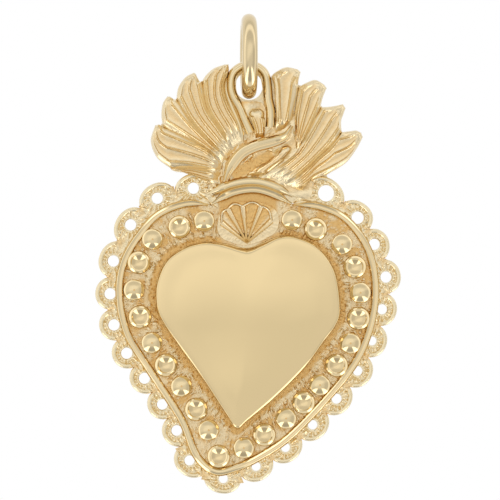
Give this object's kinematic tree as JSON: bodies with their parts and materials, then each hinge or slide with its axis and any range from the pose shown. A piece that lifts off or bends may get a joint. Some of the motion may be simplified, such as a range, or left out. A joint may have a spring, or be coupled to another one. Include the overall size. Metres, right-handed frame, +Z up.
{
  "type": "milagro charm",
  "caption": "Flaming heart charm: a polished domed heart inside a row of studs and a pierced lace edge, under a crown of flames, hung from a jump ring.",
  "frame": {"origin": "inside top of the jump ring, where the chain or cord runs", "axes": "+Z up along the hanging charm, the front faces -Y, +X to the right along the chain"},
  "size_m": [0.0275, 0.0076, 0.0432],
  "materials": {
    "ring_wire": "drawn yellow gold wire, polished",
    "dome_gold": "raised gold sheet, high polish",
    "wire_gold": "half-round gold wire, polished",
    "flame_gold": "cast and chased gold, satin with bright ridges",
    "stud_gold": "gold balls and cups, polished",
    "lace_gold": "pierced and ribbed gold strip, satin",
    "ground_gold": "matted gold ground, unpolished"
  },
  "bodies": {
    "ring": {"jump_ring": "ring_wire"},
    "charm": {"crown_sheet": "ground_gold", "ground_sheet": "ground_gold", "lace_edge": "lace_gold", "border_wire": "wire_gold", "arch_wire": "wire_gold", "heart_dome": "dome_gold", "fan": "ground_gold", "eye_strand": "wire_gold", "ribbon": "wire_gold", "crown_band": "wire_gold", "flame_leaf": "flame_gold", "flame_mid": "flame_gold", "flame_lip": "flame_gold", "flame_1": "flame_gold", "flame_2": "flame_gold", "flame_3": "flame_gold", "flame_4": "flame_gold", "flame_5": "flame_gold", "flame_6": "flame_gold", "flame_7": "flame_gold", "flame_8": "flame_gold", "ball_stud_01": "stud_gold", "ball_stud_02": "stud_gold", "ball_stud_03": "stud_gold", "ball_stud_04": "stud_gold", "ball_stud_05": "stud_gold", "ball_stud_06": "stud_gold", "ball_stud_07": "stud_gold", "ball_stud_08": "stud_gold", "ball_stud_09": "stud_gold", "ball_stud_10": "stud_gold", "ball_stud_11": "stud_gold", "ball_stud_12": "stud_gold", "ball_stud_13": "stud_gold", "cup_stud_01": "stud_gold", "cup_stud_02": "stud_gold", "cup_stud_03": "stud_gold", "cup_stud_04": "stud_gold", "cup_stud_05": "stud_gold", "cup_stud_06": "stud_gold", "cup_stud_07": "stud_gold", "cup_stud_08": "stud_gold", "cup_stud_09": "stud_gold", "cup_stud_10": "stud_gold", "cup_stud_11": "stud_gold", "cup_stud_12": "stud_gold"}
  },
  "joints": [
    {"name": "charm_swing", "type": "hinge", "parent": "ring", "child": "charm", "pos_m": [0, 0, -0.00245], "axis": [1, 0, 0], "range_deg": [-120, 120]}
  ]
}
